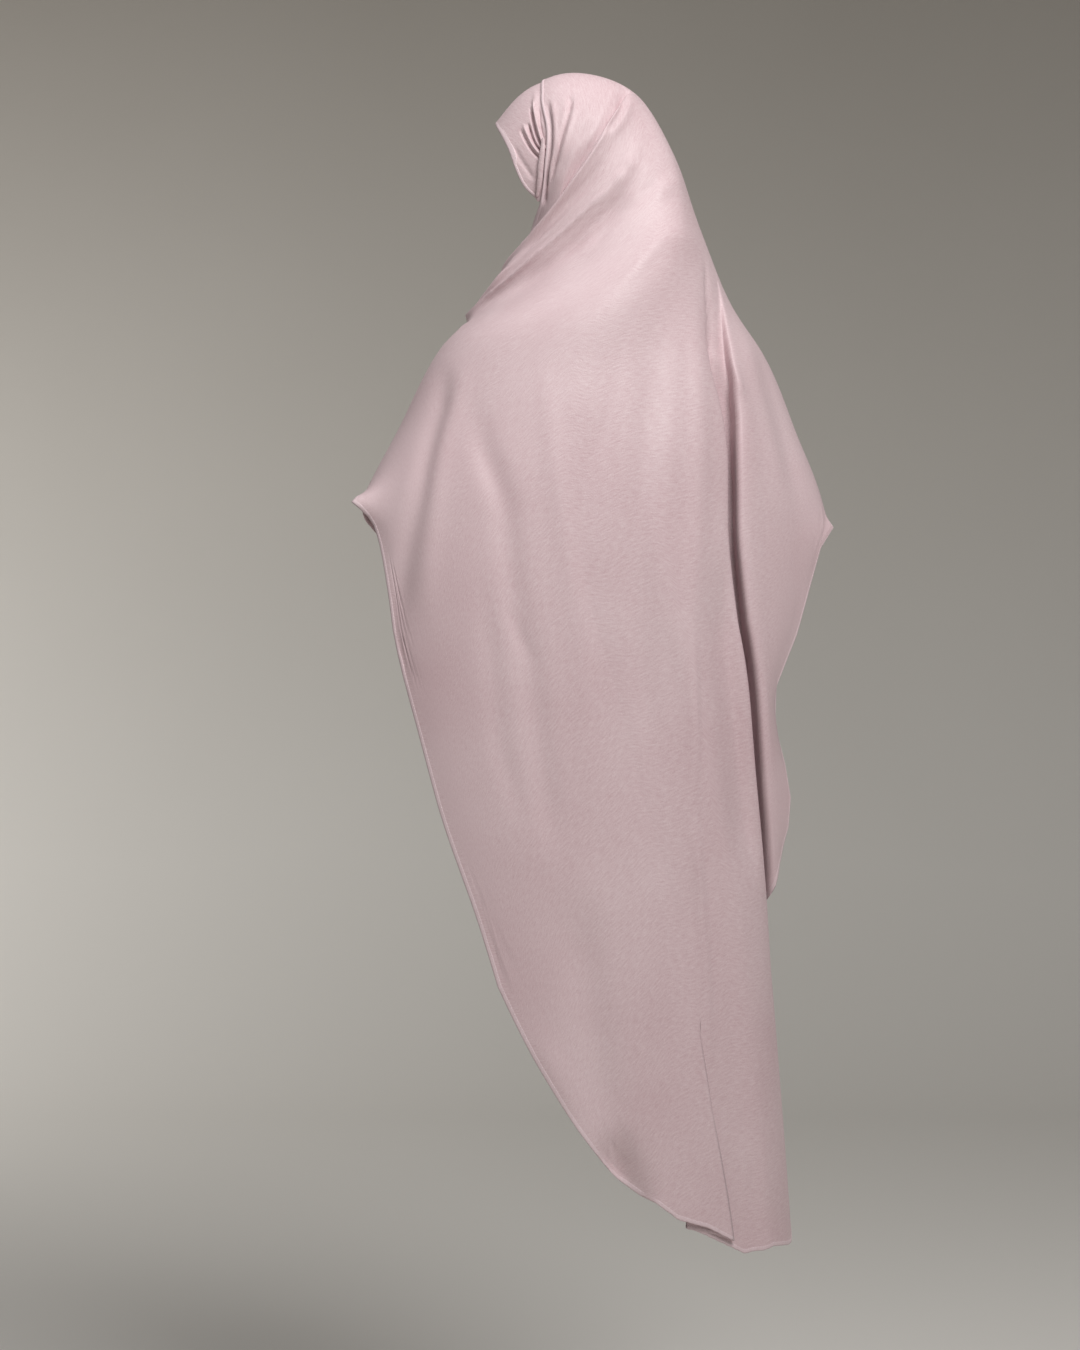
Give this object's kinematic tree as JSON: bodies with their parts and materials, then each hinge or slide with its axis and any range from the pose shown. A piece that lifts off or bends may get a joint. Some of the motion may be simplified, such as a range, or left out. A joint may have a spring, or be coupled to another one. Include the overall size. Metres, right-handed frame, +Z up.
{
  "type": "instant hijab",
  "caption": "Ready-sewn long hijab of satin crepe in its worn form: a hood with a gathered band round the face and a cape that falls over the shoulders and elbows to a rounded point behind.",
  "frame": {"origin": "where the top of the wearer's head meets the hood, under the crown", "axes": "+Z up along the length of the cape, -Y towards the front of the shoulders, +X towards the wearer's left shoulder; the head is turned to its left, towards +X"},
  "size_m": [0.5868, 0.3682, 1.3819],
  "materials": {
    "satin_crepe": "soft satin, dusty pink",
    "band_crepe": "soft satin, dusty pink",
    "tuck_crepe": "soft satin, dusty pink"
  },
  "bodies": {
    "root": {"drape": "satin_crepe", "drape_hem": "satin_crepe", "crown_hem": "satin_crepe", "forehead_band": "band_crepe", "face_hem": "band_crepe", "temple_tuck": "tuck_crepe"}
  },
  "joints": []
}
